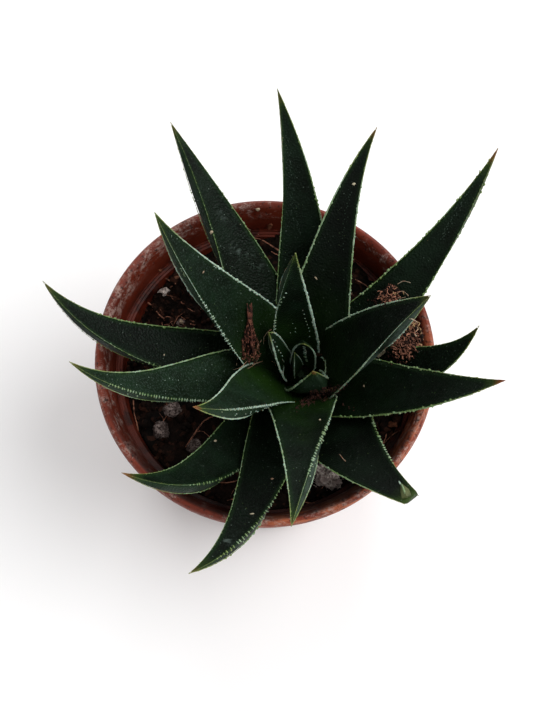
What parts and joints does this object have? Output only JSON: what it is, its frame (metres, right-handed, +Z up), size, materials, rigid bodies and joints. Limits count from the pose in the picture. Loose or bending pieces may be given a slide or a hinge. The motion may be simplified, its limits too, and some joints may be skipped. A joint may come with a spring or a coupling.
{
  "type": "potted haworthia",
  "caption": "Rosette succulent with stiff, pointed, keeled leaves and pale toothed margins, growing in a round terracotta-coloured plastic pot of peaty soil.",
  "frame": {"origin": "middle of the pot's underside, on the surface that the pot stands on", "axes": "+Z up along the pot's axis; -Y is the side nearest the viewer of the picture and +X is its right"},
  "size_m": [0.1321, 0.1386, 0.142],
  "materials": {
    "pot": "moulded, satin, with lime stains at the lip",
    "soil": "crumbly peat and coir",
    "stem": "smooth, moist",
    "leaf": "satin, finely grained, with pale beaded margins",
    "pumice": "rough, porous",
    "coir": "coarse fibre"
  },
  "bodies": {
    "root": {"pot": "pot", "soil": "soil", "stem": "stem", "leaf_01": "leaf", "leaf_02": "leaf", "leaf_03": "leaf", "leaf_04": "leaf", "leaf_05": "leaf", "leaf_06": "leaf", "leaf_07": "leaf", "leaf_08": "leaf", "leaf_09": "leaf", "leaf_10": "leaf", "leaf_11": "leaf", "leaf_12": "leaf", "leaf_13": "leaf", "leaf_14": "leaf", "leaf_15": "leaf", "leaf_16": "leaf", "leaf_17": "leaf", "leaf_18": "leaf", "leaf_19": "leaf", "leaf_20": "leaf", "pumice_1": "pumice", "pumice_2": "pumice", "pumice_3": "pumice", "pumice_4": "pumice", "pumice_5": "pumice", "pumice_6": "pumice", "coir_1": "coir", "coir_2": "coir", "coir_3": "coir", "coir_4": "coir"}
  },
  "joints": []
}
